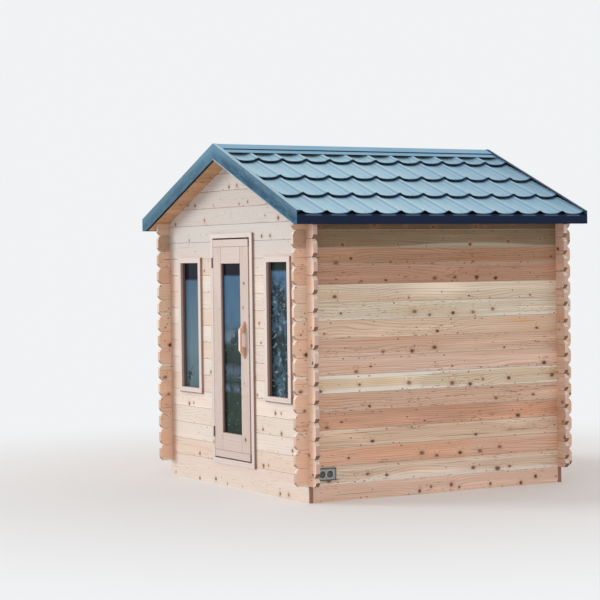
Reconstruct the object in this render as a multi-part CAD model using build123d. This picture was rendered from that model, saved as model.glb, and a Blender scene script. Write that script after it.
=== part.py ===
from build123d import *
import math
import os

os.makedirs("parts", exist_ok=True)

# Log cabin sauna, millimetres. X runs along the front wall, Y from front to back, Z up.
# The origin is the centre of the footprint at ground level, and the front wall faces -Y.

# Driving sizes of the log shell
cabin_width = 2600.0  # outer faces of the side walls
cabin_depth = 2576.0  # outer faces of the front and back walls
base_height = 140.0  # height of a base beam
course = 150.0  # height of one log
log_thickness = 38.0
log_run = 120.0  # how far a log runs on past the corner
log_end_height = 36.0  # height of the shaped corner of a log's end
log_end_depth = 30.0  # how far that corner is cut back
log_end_kink = 11.0  # the shaped corner is two flats that meet this far in
joint_groove = 3.0  # depth of the V between two courses
side_courses = 14  # whole logs of a side wall, between its base beam and the log that the roof cuts
last_log_height = 91.4  # outer face of the log that the roof cuts

# Roof form
roof_slope = 0.422  # rise over run
eave_overhang = 174.0  # face of the eave trim from the side wall's outer face
verge_overhang = 181.0  # face of the verge trim from the end wall's outer face
eave_cut = 26.0  # level cut of the eave, above the boards' lowest edge if they ran on
board_thickness = 38.0
batten_thickness = 30.0
batten_width = 60.0

# Tile-profile steel sheets
tile_pitch = 238.75  # crest to crest
tile_row = 418.0  # length of a row up the slope
sheet_foot = 66.0  # lower edge of the sheet, up the slope from the eave
tile_step = 24.0  # rise at the foot of each row
tile_crest = 28.0  # height of a crest above its pan
tile_foot = 5.0  # height above the pan at which a crest's sides begin
first_crest = 48.0  # first crest from the front edge
sheet_thickness = 3.0
sheet_inset = 12.0  # sheet ends inside the verge trims
sheet_ridge_gap = 14.0  # sheets stop short of the ridge
seat_clearance = 0.05  # what carries the sheets stops this far below them

# Steel trims
trim_thickness = 3.0
verge_clearance = 3.0  # underside of the verge flange over the highest crests
verge_flange = 40.0
verge_lip = 25.0
eave_lip = 55.0
eave_flange = 60.0
eave_face = 64.0  # plain face of the eave trim, below its bevel
eave_bevel = 52.0  # top of the bevel, up the slope from the eave
cap_face = 112.0  # raised middle of the ridge cap, down each slope
cap_flange = 81.0

# Floor
joist_width = 45.0
joist_count = 5
floor_thickness = 28.0
floor_gap = 4.0  # floor boards stop short of the walls

# Door
door_clear_half = 345.0  # half the width between the jambs
door_head_drop = 78.0  # logs over the door frame, below the gables
door_sill_rise = 60.0  # underside of the sill above the base beam
sill_height = 46.0
jamb_width = 50.0
head_height = 40.0
frame_proud = 20.0  # frames stand out from the wall
leaf_gap = 12.0
leaf_proud = 5.0  # leaf in front of the face of its frame
leaf_stop_gap = 6.0  # between the leaf and the stops behind it
leaf_stop_lap = 8.0  # stops reach this far behind the leaf
leaf_thickness = 38.0
leaf_end_rail = 65.0  # full-width rails at the head and foot of the leaf
leaf_edge = 2.0  # eased edges of the leaf's boards
stile_width = 152.0
top_rail_height = 148.0
bottom_rail_height = 156.0
door_glass_thickness = 8.0
door_glass_recess = 27.0

# Door hinges and handle
hinge_height = 92.0
hinge_radius = 6.0
hinge_plate = 2.5
hinge_plate_width = 28.0
hinge_slack = 0.5
hinge_top_drop = 206.0  # hinge centre below the top of the leaf
hinge_foot_rise = 219.0  # hinge centre above the foot of the leaf
handle_length = 328.0
handle_grip = 186.0  # straight part of the grip
handle_reach = 54.0
handle_width = 38.0
handle_bar = 22.0  # thickness of the grip
handle_gap = 100.0  # height of the finger gap
handle_gap_round = 16.0
handle_height = 1051.0  # centre above the foot of the leaf

# Windows
window_centre = 825.0
window_clear_width = 354.0
window_head_drop = 216.0  # top of a window's glass below the top of the doorway
window_clear_height = 1137.0
window_face = 48.0
window_glass_thickness = 10.0
window_glass_recess = 44.0

# Vent plate on the right wall
vent_length = 194.0
vent_height = 105.0
vent_thickness = 14.0
vent_setback = 58.0  # plate from the front wall's outer face
vent_bottom = 177.0
vent_hole_radius = 31.0
vent_hole_spacing = 72.0
vent_hole_depth = 9.0
grille_bar = 4.0
grille_bars = 5
grille_clearance = 0.1

# Sizes that follow from the ones above
half_width = cabin_width / 2
half_depth = cabin_depth / 2
inner_x = half_width - log_thickness
inner_y = half_depth - log_thickness
side_plate = base_height + side_courses * course  # top of the last whole log of a side wall
plate_height = side_plate + course / 2  # front and back walls meet their gables here
roof_half = half_width + eave_overhang
verge = half_depth + verge_overhang
roof_length = 2 * verge
soffit_ridge = side_plate + last_log_height + roof_slope * half_width  # underside of the boards
eave_bottom = soffit_ridge - roof_slope * roof_half + eave_cut
rafter_length = math.hypot(1, roof_slope)  # length up the slope for each unit across
roof_top = soffit_ridge + 2 * course  # above everything
batten_top = board_thickness + batten_thickness
verge_rise = batten_top + tile_step + sheet_thickness + tile_crest + verge_clearance
verge_inner = verge - trim_thickness
door_frame_half = door_clear_half + jamb_width
door_frame_bottom = base_height + door_sill_rise
door_clear_bottom = door_frame_bottom + sill_height
door_frame_top = plate_height - door_head_drop
door_clear_top = door_frame_top - head_height
frame_front = -half_depth - frame_proud
frame_back = -inner_y
leaf_front = frame_front - leaf_proud
leaf_back = leaf_front + leaf_thickness
leaf_half = door_clear_half - leaf_gap
leaf_bottom = door_clear_bottom + leaf_gap
leaf_top = door_clear_top - leaf_gap
stop_front = leaf_back + leaf_stop_gap
stop_half = leaf_half - leaf_stop_lap
stop_bottom = leaf_bottom + leaf_stop_lap
stop_top = leaf_top - leaf_stop_lap
window_half = window_clear_width / 2
window_clear_top = door_clear_top - window_head_drop
window_clear_bottom = window_clear_top - window_clear_height
past = 1.0  # cutters run this far past a face


def save(node, *solids):
    """Write the solids of one node."""
    shape = solids[0] if len(solids) == 1 else Compound(children=list(solids))
    export_step(shape, f"parts/{node}.step")


def block(x0, x1, y0, y1, z0, z1):
    """A box between two corners, whichever way round each pair comes."""
    size = Box(abs(x1 - x0), abs(y1 - y0), abs(z1 - z0))
    return Pos((x0 + x1) / 2, (y0 + y1) / 2, (z0 + z1) / 2) * size


def prism_y(points, y0, y1):
    """An outline of (x, z) points, solid between y0 and y1."""
    outline = make_face(Polyline(*[(x, min(y0, y1), z) for x, z in points], close=True).edges())
    return extrude(outline, amount=abs(y1 - y0), dir=(0, 1, 0))


def prism_x(points, x0, x1):
    """An outline of (y, z) points, solid between x0 and x1."""
    outline = make_face(Polyline(*[(min(x0, x1), y, z) for y, z in points], close=True).edges())
    return extrude(outline, amount=abs(x1 - x0), dir=(1, 0, 0))


def soffit(x):
    """Height of the roof's underside at x."""
    return soffit_ridge - roof_slope * abs(x)


def only(shape):
    """The one solid of a result."""
    return shape.solids()[0]


# Log walls

def log_ends(corner, out, joints):
    """Outline points up a stack of log ends that run on past a corner, out being 1 or -1."""
    tip = corner + out * log_run
    kink = tip - out * log_end_kink
    back = tip - out * log_end_depth
    kink_height = log_end_height * 0.45
    points = [(back, joints[0])]
    for low, high in zip(joints, joints[1:]):
        if high - low > 2 * log_end_height:
            points += [(kink, low + kink_height), (tip, low + log_end_height)]
        else:
            points += [(tip, low)]
        points += [(tip, high - log_end_height), (kink, high - kink_height), (back, high)]
    return points


def crossings(centres, low, high, across, along):
    """Cutters for the half logs of the crossing wall, between two (x or y) faces each way."""
    cuts = []
    for centre in centres:
        bottom = max(centre - course / 4, low)
        top = min(centre + course / 4, high)
        cuts.append((bottom, top))
    return [block(*across, *along, bottom, top) for bottom, top in cuts if top > bottom]


def grooves(joints, faces, make_prism):
    """V grooves along the joints, on each face given with the way that it looks."""
    reach = log_run + max(half_width, half_depth) + past
    wide = joint_groove + past
    cuts = []
    for joint in joints:
        for face, out in faces:
            mouth = face + out * past
            points = [(face - out * joint_groove, joint), (mouth, joint - wide), (mouth, joint + wide)]
            cuts.append(make_prism(points, -reach, reach))
    return cuts


side_joints = [base_height + course * k for k in range(side_courses + 1)] + [soffit_ridge]
end_joints = [base_height] + [base_height + course * (k + 0.5) for k in range(side_courses + 1)]
gable_joints = [plate_height + course * k for k in range(math.ceil((soffit_ridge - plate_height) / course))]
eave = soffit(roof_half)
roof_outline = [(-roof_half, 0), (roof_half, 0), (roof_half, eave), (0, soffit_ridge), (-roof_half, eave)]
under_roof = prism_y(roof_outline, -verge, verge)


def side_wall(out):
    """A side wall from corner to corner, with its log ends in front of one and behind the other."""
    face, inside = out * half_width, out * inner_x
    outline = log_ends(-half_depth, -1, side_joints) + log_ends(half_depth, 1, side_joints)[::-1]
    wall = prism_x(outline, face, inside)
    across = (face + out * past, inside - out * past)
    cuts = grooves(side_joints[1:-1], ((face, out), (inside, -out)), prism_y)
    for along in ((-half_depth, -inner_y), (inner_y, half_depth)):
        cuts += crossings(side_joints[:-1], 0, roof_top, across, along)
    return only((wall - cuts) & under_roof)


def end_wall(out, side):
    """The front (out = -1) or back wall, from one corner's log ends to the line of the door frame."""
    face, inside = out * half_depth, out * inner_y
    ends = log_ends(half_width, 1, end_joints)
    outline = [(door_frame_half, end_joints[0]), *ends, (door_frame_half, end_joints[-1])]
    wall = prism_y([(side * x, z) for x, z in outline], face, inside)
    along = (face + out * past, inside - out * past)
    cuts = grooves(end_joints[1:-1], ((face, out), (inside, -out)), prism_x)
    side_log_centres = [joint + course / 2 for joint in side_joints[:-1]]
    across = (side * inner_x, side * half_width)
    cuts += crossings(side_log_centres, base_height, plate_height + past, across, along)
    return (wall - cuts) & under_roof


def end_wall_middle(out, low, high):
    """The logs between the lines of the door frame, from one height to another."""
    face, inside = out * half_depth, out * inner_y
    wall = block(-door_frame_half, door_frame_half, face, inside, low, high)
    return wall - grooves(end_joints[1:], ((face, out), (inside, -out)), prism_x)


def gable(out):
    """The logs above the side walls' plate, up to the roof boards."""
    face, inside = out * half_depth, out * inner_y
    wall = block(-inner_x, inner_x, face, inside, plate_height, soffit_ridge)
    return only((wall - grooves(gable_joints, ((face, out), (inside, -out)), prism_x)) & under_roof)


def window_hole(side):
    """The hole that a window's frame fills."""
    half = window_half + window_face
    x = side * window_centre
    low, high = window_clear_bottom - window_face, window_clear_top + window_face
    return block(x - half, x + half, -half_depth - past, -inner_y + past, low, high)


for name, out in (("left", -1), ("right", 1)):
    save(f"{name}_wall", side_wall(out))
    save(f"front_wall_{name}", only(end_wall(-1, out) - window_hole(out)))
save("front_wall_under_door", only(end_wall_middle(-1, base_height, door_frame_bottom)))
save("front_wall_over_door", only(end_wall_middle(-1, door_frame_top, plate_height)))
back_middle = end_wall_middle(1, base_height, plate_height)
save("back_wall", only(end_wall(1, -1) + end_wall(1, 1) + back_middle))
save("front_gable", gable(-1))
save("back_gable", gable(1))

# Base beams and floor
front_beam = block(-half_width, half_width, -half_depth, -inner_y, 0, base_height)
side_beam = block(inner_x, half_width, -inner_y, inner_y, 0, base_height)
save("base_beams_front_back", front_beam, front_beam.mirror(Plane.XZ))
save("base_beams_sides", side_beam, side_beam.mirror(Plane.YZ))
joist_spacing = 2 * inner_x / (joist_count + 1)
joists = []
for k in range(joist_count):
    x = (k + 1) * joist_spacing - inner_x
    joists.append(block(x - joist_width / 2, x + joist_width / 2, -inner_y, inner_y, 0, base_height))
save("floor_joists", *joists)
floor_x = inner_x - floor_gap
floor_y = inner_y - floor_gap
floor_top = base_height + floor_thickness
save("floor_boards", block(-floor_x, floor_x, -floor_y, floor_y, base_height, floor_top))


# Roof, drawn for the right slope and turned half round for the left one

# Points on the slope are (s, n): s up the slope from the eave trim's face, n square to the boards' underside.
slope_up = (-1 / rafter_length, 0, roof_slope / rafter_length)
slope_normal = (roof_slope / rafter_length, 0, 1 / rafter_length)
on_slope = Plane(origin=(roof_half, 0, soffit(roof_half)), x_dir=(0, 1, 0), z_dir=slope_normal).location
ridge_run = roof_half * rafter_length
above_eave = block(0, roof_half, -verge, verge, eave_bottom + trim_thickness, roof_top)


def at(s, n):
    """The (x, z) of a point on the right slope."""
    x = roof_half + s * slope_up[0] + n * slope_normal[0]
    return x, soffit(roof_half) + s * slope_up[2] + n * slope_normal[2]


def upright_band(low, high, x0, x1):
    """Outline of a band between two rises above the soffit, cut upright at x0 and x1."""
    lift_low, lift_high = low * rafter_length, high * rafter_length
    lower = [(x0, soffit(x0) + lift_low), (x1, soffit(x1) + lift_low)]
    return lower + [(x1, soffit(x1) + lift_high), (x0, soffit(x0) + lift_high)]


def under_sheet(s):
    """Height of the pans' underside, which drops from the foot of each row to its head."""
    along = (s - sheet_foot) % tile_row if s > sheet_foot else s - sheet_foot
    return batten_top + tile_step * (1 - along / tile_row)


def save_slopes(stem, *solids):
    """Write the solids of the right slope, and the same turned half round for the left."""
    save(f"{stem}_right", *solids)
    save(f"{stem}_left", *[solid.rotate(Axis.Z, 180) for solid in solids])


boards = prism_y(upright_band(0, board_thickness, 0, roof_half - trim_thickness), -verge_inner, verge_inner)
save_slopes("roof_boards", only(boards & above_eave))


def batten(foot, head, lowered):
    """A batten across the slope between two s, its top following the sheet."""
    points = [at(foot, board_thickness), at(head, board_thickness)]
    points += [at(head, under_sheet(head) - lowered), at(foot, under_sheet(foot) - lowered)]
    return prism_y(points, -verge_inner, verge_inner)


row_count = math.ceil((ridge_run - sheet_foot) / tile_row)
top_head = ridge_run - sheet_ridge_gap
row_heads = [sheet_foot + tile_row * k for k in range(1, row_count)]
batten_heads = [head for head in row_heads if head < top_head - 2 * batten_width] + [top_head]
battens = [batten(head - batten_width, head - seat_clearance, seat_clearance) for head in batten_heads]
eave_lowered = trim_thickness + seat_clearance
eave_batten = batten(eave_bevel + 2 * trim_thickness, eave_bevel + eave_flange, eave_lowered)
save_slopes("roof_battens", eave_batten, *battens)


def tile_face(foot, top_lift, bottom_lift):
    """A section across the slope at s = foot: crests, steep on their front side, and flat pans."""
    crest, side = tile_crest, tile_foot
    wave = [(-36, side), (-15, crest - 3), (7, crest), (60, side), (120, 0)]
    first = -verge + first_crest - tile_pitch
    count = math.ceil(roof_length / tile_pitch) + 2
    line = [(first + k * tile_pitch + x, rise) for k in range(count) for x, rise in wave]
    top = [(x, foot, top_lift + rise) for x, rise in line]
    bottom = [(x, foot, bottom_lift + rise) for x, rise in reversed(line)]
    return make_face(Polyline(*top, *bottom, close=True).edges())


def tile_sheet():
    """A slope's sheet: rows that each step up over the one below, with a riser at each step."""
    head_rise = batten_top + sheet_thickness
    foot_rise = head_rise + tile_step
    solids = []
    for k in range(row_count):
        foot = sheet_foot + k * tile_row
        row = tile_face(foot, foot_rise, foot_rise - sheet_thickness)
        solids.append(extrude(row, amount=math.hypot(tile_row, tile_step), dir=(0, tile_row, -tile_step)))
        if k:
            riser = tile_face(foot, foot_rise, batten_top)
            solids.append(extrude(riser, amount=sheet_thickness, dir=(0, 1, 0)))
    sheet = solids[0] + solids[1:]
    inside = block(-verge + sheet_inset, verge - sheet_inset, 0, top_head, 0, roof_top)
    return on_slope * only(sheet & inside)


save_slopes("roof_sheet", tile_sheet())


def ridge_cap():
    """The cap over the ridge: a raised middle that steps down to a flange on each slope's crests."""
    ridge_s = ridge_run + verge_rise * roof_slope
    edge, crease = ridge_s - cap_face - cap_flange, ridge_s - cap_face
    flange_low = under_sheet(edge) + sheet_thickness + tile_crest
    face_low = verge_rise - trim_thickness
    step = face_low - flange_low
    t = trim_thickness
    outer = [at(crease, face_low + t), at(crease - step, flange_low + t), at(edge, flange_low + t)]
    inner = [at(edge, flange_low), at(crease - step, flange_low), at(crease, face_low)]
    top = (0, soffit_ridge + (face_low + t) * rafter_length)
    bottom = (0, soffit_ridge + face_low * rafter_length)
    right = [top, *outer, *inner, bottom]
    left = [(-x, z) for x, z in right[1:-1]]
    return only(prism_y(right + left[::-1], -verge_inner, verge_inner))


save("ridge_cap", ridge_cap())


def verge_trim(out):
    """The right slope's trim at the front (out = -1) or back: web, top flange and a lip under the boards."""
    face = out * verge
    top = verge_rise + trim_thickness
    web = prism_y(upright_band(-trim_thickness, top, 0, roof_half), face, out * verge_inner)
    flange = prism_y(upright_band(verge_rise, top, 0, roof_half), face, face - out * verge_flange)
    lip = prism_y(upright_band(-trim_thickness, 0, 0, roof_half), face, face - out * verge_lip)
    keep = block(0, roof_half, -verge, verge, eave_bottom, roof_top)
    return only((web + flange + lip) & keep)


for name, out in (("front", -1), ("back", 1)):
    trim = verge_trim(out)
    save(f"verge_trim_{name}_right", trim)
    save(f"verge_trim_{name}_left", trim.mirror(Plane.YZ))


def eave_trim():
    """The right eave's trim: a lip under the boards, a plain face, a bevel and a flange under the sheet."""
    face_top = eave_bottom + eave_face
    flange_end = eave_bevel + eave_flange
    t = trim_thickness
    outer = [(roof_half - eave_lip, eave_bottom), (roof_half, eave_bottom), (roof_half, face_top)]
    outer += [at(s, under_sheet(s) - seat_clearance) for s in (eave_bevel, flange_end)]
    inner = [at(s, under_sheet(s) - t) for s in (flange_end, eave_bevel + t / 2)]
    inner += [(roof_half - t, face_top - t / 2), (roof_half - t, eave_bottom + t)]
    inner += [(roof_half - eave_lip, eave_bottom + t)]
    return only(prism_y(outer + inner, -verge_inner, verge_inner))


save_slopes("eave_trim", eave_trim())


# Door frame, with a stop behind the leaf all the way round

def frame_rail(low, high, stop_low, stop_high):
    """The head or the sill, between two heights, with its stop between two others."""
    rail = block(-door_frame_half, door_frame_half, frame_front, frame_back, low, high)
    return only(rail + block(-door_clear_half, door_clear_half, stop_front, frame_back, stop_low, stop_high))


jamb = block(door_clear_half, door_frame_half, frame_front, frame_back, door_clear_bottom, door_clear_top)
jamb = only(jamb + block(stop_half, door_clear_half, stop_front, frame_back, stop_bottom, stop_top))
save("door_jambs", jamb, jamb.mirror(Plane.YZ))
save("door_head", frame_rail(door_clear_top, door_frame_top, stop_top, door_clear_top))
save("door_sill", frame_rail(door_frame_bottom, door_clear_bottom, door_clear_bottom, stop_bottom))

# Door leaf
stile_low = leaf_bottom + leaf_end_rail
stile_high = leaf_top - leaf_end_rail
stile_inner = leaf_half - stile_width
glass_low = stile_low + bottom_rail_height
glass_high = stile_high - top_rail_height
glass_front = leaf_front + door_glass_recess


def leaf_board(left, right, low, high):
    """A board of the leaf, with eased edges at the front."""
    board = block(left, right, leaf_front, leaf_back, low, high)
    return chamfer(board.edges().group_by(Axis.Y)[0], leaf_edge)


foot_rail = leaf_board(-leaf_half, leaf_half, leaf_bottom, stile_low)
save("door_end_rails", foot_rail, leaf_board(-leaf_half, leaf_half, stile_high, leaf_top))
stile = leaf_board(stile_inner, leaf_half, stile_low, stile_high)
save("door_stiles", stile, stile.mirror(Plane.YZ))
bottom_rail = leaf_board(-stile_inner, stile_inner, stile_low, glass_low)
save("door_rails", bottom_rail, leaf_board(-stile_inner, stile_inner, glass_high, stile_high))
glass_back = glass_front + door_glass_thickness
save("door_glass", block(-stile_inner, stile_inner, glass_front, glass_back, glass_low, glass_high))

# Handle: a bow cut from one board, with a finger gap behind its grip
handle_x = stile_inner + stile_width / 2
handle_z = leaf_bottom + handle_height
handle_left, handle_right = handle_x - handle_width / 2, handle_x + handle_width / 2
grip_front = leaf_front - handle_reach
bow = prism_x(
    [
        (leaf_front, handle_z - handle_length / 2), (grip_front, handle_z - handle_grip / 2),
        (grip_front, handle_z + handle_grip / 2), (leaf_front, handle_z + handle_length / 2),
    ],
    handle_left, handle_right,
)
finger_gap = block(
    handle_left - past, handle_right + past, grip_front + handle_bar, leaf_front + past,
    handle_z - handle_gap / 2, handle_z + handle_gap / 2,
)
finger_gap = fillet(finger_gap.edges().filter_by(Axis.X).group_by(Axis.Y)[0], handle_gap_round)
handle = bow - finger_gap
grip_edges = handle.edges().filter_by(Axis.X).group_by(Axis.Y)[0]
save("door_handle", only(fillet(grip_edges, handle_bar / 2)))

# Hinges: the pin stands in the gap at the leaf's left edge, in front of the leaf
pin_x = -door_clear_half + leaf_gap / 2
pin_y = leaf_front - hinge_radius
knuckle = hinge_height / 3
frame_plates = []
leaf_plates = []
for z in (leaf_bottom + hinge_foot_rise, leaf_top - hinge_top_drop):
    low, high = z - hinge_height / 2, z + hinge_height / 2
    plate_back = frame_front + hinge_plate_width
    jamb_face = -door_clear_half + hinge_plate
    frame_plate = block(-door_clear_half, jamb_face, pin_y, plate_back, low, high)
    frame_plate += Pos(pin_x, pin_y, low + knuckle / 2) * Cylinder(hinge_radius, knuckle)
    frame_plate += Pos(pin_x, pin_y, high - knuckle / 2) * Cylinder(hinge_radius, knuckle)
    middle = Pos(pin_x, pin_y, z) * Cylinder(hinge_radius + hinge_slack, knuckle + 2 * hinge_slack)
    frame_plates.append(only(frame_plate - middle))
    leaf_plate = block(-leaf_half - hinge_plate, -leaf_half, pin_y, plate_back, low, high)
    for end in (low + knuckle / 2, high - knuckle / 2):
        leaf_plate -= Pos(pin_x, pin_y, end) * Cylinder(hinge_radius + hinge_slack, knuckle + 2 * hinge_slack)
    leaf_plate += Pos(pin_x, pin_y, z) * Cylinder(hinge_radius, knuckle)
    leaf_plates.append(only(leaf_plate))
save("hinge_jamb_plates", *frame_plates)
save("hinge_leaf_plates", *leaf_plates)

# Windows
heads, sills, jambs, panes = [], [], [], []
for side in (-1, 1):
    x = side * window_centre
    inner, outer = window_half, window_half + window_face
    low, high = window_clear_bottom, window_clear_top
    heads.append(block(x - outer, x + outer, frame_front, frame_back, high, high + window_face))
    sills.append(block(x - outer, x + outer, frame_front, frame_back, low - window_face, low))
    jambs.append(block(x - outer, x - inner, frame_front, frame_back, low, high))
    jambs.append(block(x + inner, x + outer, frame_front, frame_back, low, high))
    pane_front = frame_front + window_glass_recess
    panes.append(block(x - inner, x + inner, pane_front, pane_front + window_glass_thickness, low, high))
save("window_heads", *heads)
save("window_sills", *sills)
save("window_jambs", *jambs)
save("window_panes", *panes)

# Vent plate with two round grilles
vent_y = -half_depth + vent_setback + vent_length / 2
vent_z = vent_bottom + vent_height / 2
vent_face = half_width + vent_thickness
plate = block(
    half_width, vent_face,
    vent_y - vent_length / 2, vent_y + vent_length / 2, vent_bottom, vent_bottom + vent_height,
)
plate = chamfer(plate.edges().filter_by(Axis.X), vent_thickness / 4)
bar_x = vent_face - vent_hole_depth / 2
bar_pitch = 2 * vent_hole_radius / (grille_bars + 1)
grilles = []
for side in (-1, 1):
    y = vent_y + side * vent_hole_spacing / 2
    hole_axis = Pos(bar_x, y, vent_z) * Rot(0, 90, 0)
    plate -= hole_axis * Cylinder(vent_hole_radius, vent_hole_depth)
    disc = hole_axis * Cylinder(vent_hole_radius - grille_clearance, grille_bar)
    for k in range(grille_bars):
        z = vent_z + (k - (grille_bars - 1) / 2) * bar_pitch
        bar = Pos(bar_x, y, z) * Box(grille_bar, 2 * vent_hole_radius, grille_bar)
        grilles.append(only(bar & disc))
save("vent_plate", only(plate))
save("vent_grilles", *grilles)
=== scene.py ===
import bpy, math, random
from mathutils import Matrix, Vector


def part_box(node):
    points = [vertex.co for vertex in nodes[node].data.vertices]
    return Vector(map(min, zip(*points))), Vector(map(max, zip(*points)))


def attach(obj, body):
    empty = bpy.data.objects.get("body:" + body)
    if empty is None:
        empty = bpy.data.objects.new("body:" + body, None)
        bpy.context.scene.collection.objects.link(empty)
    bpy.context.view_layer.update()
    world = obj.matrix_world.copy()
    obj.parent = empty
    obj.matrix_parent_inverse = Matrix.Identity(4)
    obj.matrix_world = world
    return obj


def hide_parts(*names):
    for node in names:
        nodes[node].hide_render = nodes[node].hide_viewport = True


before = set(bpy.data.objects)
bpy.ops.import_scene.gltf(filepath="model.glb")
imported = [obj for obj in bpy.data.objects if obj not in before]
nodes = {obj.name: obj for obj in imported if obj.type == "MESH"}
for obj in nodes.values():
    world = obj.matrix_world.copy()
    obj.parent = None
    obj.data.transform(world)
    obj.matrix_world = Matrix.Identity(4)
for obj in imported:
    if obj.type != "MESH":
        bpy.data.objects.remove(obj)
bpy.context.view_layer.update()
scene = bpy.context.scene
scene.view_settings.view_transform = "Standard"
rng = random.Random(7)

# Walls and floor, in metres
BASE = 0.14  # height of the base beams
LOG = 0.15  # height of one log
SIDE_START = BASE
END_START = BASE - LOG / 2  # the end walls' logs lie half a log lower
WALL_FACE = 1.30  # outer faces of the side walls, from the middle
FLOOR_BOARD = 0.095
WINDOW_LOW, WINDOW_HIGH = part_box("window_sills")[0].z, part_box("window_heads")[1].z
LOG_CUTS = (-1.0, -0.39, 0.39, 1.0)  # within the windows and at the door, where a cut log changes tone

# Roof. A place on it is up the slope from the eave, and out from the soffit
SLOPE = 0.422  # rise over run
SOFFIT_RIDGE = 2.88  # where the two soffits meet
EAVE_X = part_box("eave_trim_right")[1].x
EAVE_Z = SOFFIT_RIDGE - SLOPE * EAVE_X
RAFTER = math.hypot(1, SLOPE)
COS, SIN = 1 / RAFTER, SLOPE / RAFTER
BOARDS_START = 0.075  # lowest soffit board, up the slope
BOARDS_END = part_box("roof_boards_right")[1].y
BOARD_THICK = 0.038
SOFFIT_BOARD = 0.095
EAVE_FACE = 0.064  # plain face of the eave trim, below its bevel

# Tile sheets
TILE_ROWS = 4
TILE_ROW = 0.418  # length of a row
TILE_FOOT = 0.066  # foot of the lowest row, up the slope
TILE_STEP = 0.024  # rise at the foot of each row
TILE_UNDER = 0.068  # underside of the sheet, out from the soffit
TILE_THICK = 0.003
LIP = 0.004  # each row's lower edge stands so far over the riser
NOSE = [(-0.002, -0.002), (-0.001, -0.0004), (0.003, 0)]  # rounding of that edge
SHEET_TOP = 1.5859  # upper edge, up the slope
SHEET_END = 1.457  # ends, along the ridge from the middle
WAVE = 0.23875  # crest to crest
FIRST_CREST = -1.421
WAVE_STEPS = 22  # points across one wave
CREST_FOOT = 0.04  # a crest starts this far before its top
PAN = 0.145  # middle of the pan beside a crest
WAVE_KNOTS = [(-0.045, 0.0065), (-0.024, 0.0155), (-0.008, 0.0255), (0.004, 0.028), (0.017, 0.0225),
              (0.038, 0.0115), (0.070, 0.004), (0.105, 0.0005), (0.135, 0.0), (0.165, 0.002)]
SCREW_RISE = 0.022  # screws stand so far up the slope from a row's foot
SCREW_MARGIN = 0.02  # and at least so far from the sheet's ends

# Door, windows and vent
PANE_WIDTH = 0.354
WINDOW_GLASS = (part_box("window_panes")[0].x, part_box("window_panes")[1].x - PANE_WIDTH)  # left edges
WINDOW_MIDDLE = (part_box("window_jambs")[0].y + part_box("window_panes")[0].y) / 2  # halfway in to the glass
DOOR_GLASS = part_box("door_glass")[0].x  # left edge
DOOR_MIDDLE = (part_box("door_stiles")[0].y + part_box("door_glass")[0].y) / 2
DOOR_BEAD, WINDOW_BEAD = 0.005, 0.010
LEAF_GAP = 0.012  # the seal starts this far outside the leaf
STOP_GAP = 0.006  # between the leaf and the stops behind it
SEAL, SEAL_WIDTH, SEAL_EDGE = 0.004, 0.018, 0.003  # thickness, width and bevelled edge
HANDLE_GRIP = 0.186  # straight part of the grip
HANDLE_BAR = 0.018  # thickness of the grip
HANDLE_ROUND = 0.0088  # radius of its edges
HANDLE_CORNER, GAP_CORNER = 0.020, 0.012  # radii of its corners, outside and in the finger gap
HANDLE_SHADE = (-1.345, -1.318)  # painted shade: between these it gets darker towards the leaf
GAP_GRIP, GAP_LEAF = 0.052, 0.066  # half the finger gap, at the grip and at the leaf
VENT_HOLE = 0.031  # radius
VENT_SPACING = 0.072
VENT_INSET = 0.010  # screws from the plate's edges

# Turned profiles, in radius and height. The rim's radius is beyond its hole
SCREW = [(0, -0.003), (0.0075, -0.003), (0.0075, 0.001), (0.0048, 0.0018), (0.0045, 0.0052), (0.0036, 0.006),
         (0, 0.006)]
SMALL_SCREW = [(0, -0.002), (0.0042, -0.002), (0.0042, 0.0004), (0.003, 0.0018), (0, 0.0022)]
VENT_RIM = [(0, -0.004), (0, 0.0016), (0.0015, 0.0026), (0.0045, 0.0022), (0.006, 0), (0.006, -0.004)]

# Camera
CAMERA_PLACE = Vector((14.6818, -8.9439, 1.98187))
YAW, PITCH, ROLL = (math.radians(turn) for turn in (60.429, -1.1667, -0.7359))
LENS = 113.25


def rgb(red, green, blue):
    """A colour in 0 to 255 screen values, as the linear colour that a shader takes."""
    linear = [((c / 255 + 0.055) / 1.055) ** 2.4 if c > 10 else c / 255 / 12.92 for c in (red, green, blue)]
    return (*linear, 1)


# Wood tones of the side walls, of the sunlit front, of marks, and of painted shade and highlights
PINK = rgb(232, 200, 180)
CREAM = rgb(230, 208, 187)
TAN = rgb(222, 188, 164)
LIGHT_TAN = rgb(230, 203, 178)
ORANGE = rgb(214, 168, 140)
ORANGE_TAN = rgb(236, 196, 171)
PALE = rgb(230, 212, 186)
STRAW = rgb(225, 213, 191)
WARM_STRAW = rgb(226, 210, 188)
RUSSET = rgb(190, 148, 123)
BROWN = rgb(176, 136, 108)
# painted shade: the two highest side logs, darkened as in the eave's shadow
EAVE_SHADED_OLIVE = rgb(136, 118, 90)
EAVE_SHADOW_OLIVE = rgb(106, 88, 60)
SUN_CREAM = rgb(220, 208, 196)
SUN_PINK = rgb(222, 202, 192)
SUN_TAN = rgb(220, 198, 180)
SUN_PALE = rgb(226, 216, 206)
END_PINK = rgb(232, 206, 194)
# painted warm shade on the log ends past the corners
WARM_CORNER_SHADE = rgb(246, 204, 176)
# painted shade of the eave on the log ends
EAVE_SHADE_BROWN = rgb(186, 152, 130)
EDGE_PALE = rgb(244, 236, 224)
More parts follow.
